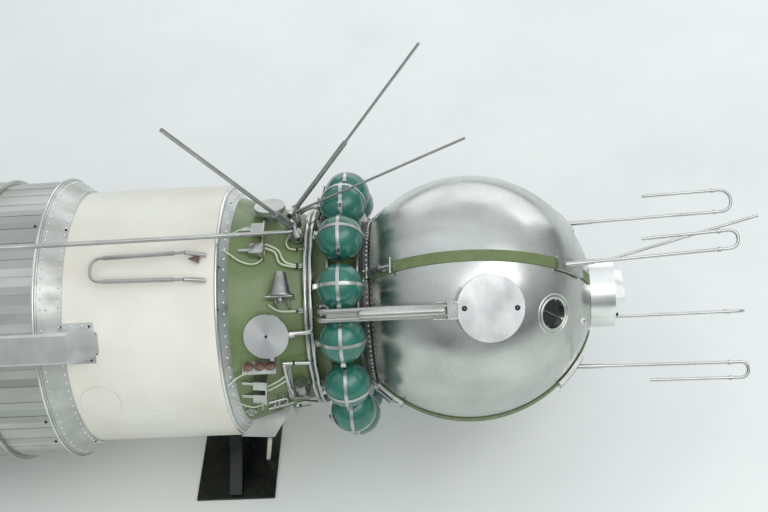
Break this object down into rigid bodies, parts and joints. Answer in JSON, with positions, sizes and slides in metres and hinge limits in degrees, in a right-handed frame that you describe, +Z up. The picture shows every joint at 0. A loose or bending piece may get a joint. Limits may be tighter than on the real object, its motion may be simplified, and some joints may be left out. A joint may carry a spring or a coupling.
{
  "type": "scale model of a crewed satellite spacecraft on its last rocket stage",
  "caption": "Museum model of a spherical crewed capsule on its instrument module and last rocket stage, lying on two black stands, with hinged whip aerials.",
  "frame": {"origin": "on the floor below the joint of rocket stage and instrument module, where the front stand's foot lies", "axes": "+X along the long axis towards the nose, +Z up, -Y towards the side with the mast and the porthole"},
  "size_m": [1.7911, 0.534, 0.8564],
  "materials": {
    "satin_metal": "rolled sheet, satin",
    "white_paint": "eggshell white paint",
    "olive_paint": "semi-gloss olive green paint",
    "polished_metal": "polished, faint turning marks",
    "bright_tube": "drawn tube, bright",
    "fittings": "machined",
    "teal_paint": "semi-gloss teal paint",
    "green_band": "satin olive green paint",
    "brown_knob": "red-brown moulded caps",
    "dark_glass": "dark glazed porthole",
    "black_gloss": "gloss black lacquer",
    "engine_metal": "heat-toned steel"
  },
  "bodies": {
    "spacecraft_and_stage": {"access_cover": "white_paint", "aft_skirt": "satin_metal", "band_buckles": "fittings", "band_plates": "fittings", "bell_sensor": "polished_metal", "bottle_cradles": "fittings", "bottle_neck": "olive_paint", "bottle_straps": "fittings", "connector_boxes": "fittings", "descent_sphere": "polished_metal", "front_stand": "black_gloss", "gas_bottles": "teal_paint", "hairpin_aerial": "bright_tube", "hatch_plate": "polished_metal", "hook_aerials": "bright_tube", "instrument_cone": "olive_paint", "knob_panel": "fittings", "main_nozzle": "engine_metal", "mast_bracket": "fittings", "mast_foot": "fittings", "module_ring": "satin_metal", "nose_box": "polished_metal", "nose_drum": "polished_metal", "nose_rod": "bright_tube", "panel_knobs": "brown_knob", "pipe_clips": "fittings", "pipe_ring": "bright_tube", "porthole_glass": "dark_glass", "porthole_rim": "fittings", "rear_bulkhead": "satin_metal", "rear_stand": "black_gloss", "ribbed_skin": "satin_metal", "seat_ring": "satin_metal", "sheet_fin": "fittings", "side_can": "polished_metal", "stage_duct": "satin_metal", "stage_rim": "satin_metal", "steering_nozzles": "engine_metal", "step_ring": "satin_metal", "tension_bands": "green_band", "turned_disc": "polished_metal", "umbilical_mast": "bright_tube", "upper_disc": "polished_metal", "valve_box": "fittings", "whip_bosses": "fittings", "white_section": "white_paint"},
    "aft_whip": {"aft_whip": "bright_tube"},
    "long_whip": {"long_whip": "bright_tube"},
    "sleeved_whip": {"sleeved_whip": "bright_tube"},
    "thin_whip": {"thin_whip": "bright_tube"}
  },
  "joints": [
    {"name": "aft_whip_hinge", "type": "hinge", "parent": "spacecraft_and_stage", "child": "aft_whip", "pos_m": [0.12895, -0.00136, 0.52445], "axis": [-0.342, 0.9391, 0.0328], "range_deg": [-15, 30]},
    {"name": "long_whip_hinge", "type": "hinge", "parent": "spacecraft_and_stage", "child": "long_whip", "pos_m": [0.13305, -0.01263, 0.52405], "axis": [-0.342, 0.9391, 0.0328], "range_deg": [0, 55]},
    {"name": "sleeved_whip_hinge", "type": "hinge", "parent": "spacecraft_and_stage", "child": "sleeved_whip", "pos_m": [0.12655, 0.05114, 0.51976], "axis": [-0.2588, -0.9412, 0.2173], "range_deg": [-12, 30]},
    {"name": "thin_whip_hinge", "type": "hinge", "parent": "spacecraft_and_stage", "child": "thin_whip", "pos_m": [0.12345, 0.03985, 0.52236], "axis": [-0.2588, -0.9412, 0.2173], "range_deg": [-4, 45]}
  ]
}
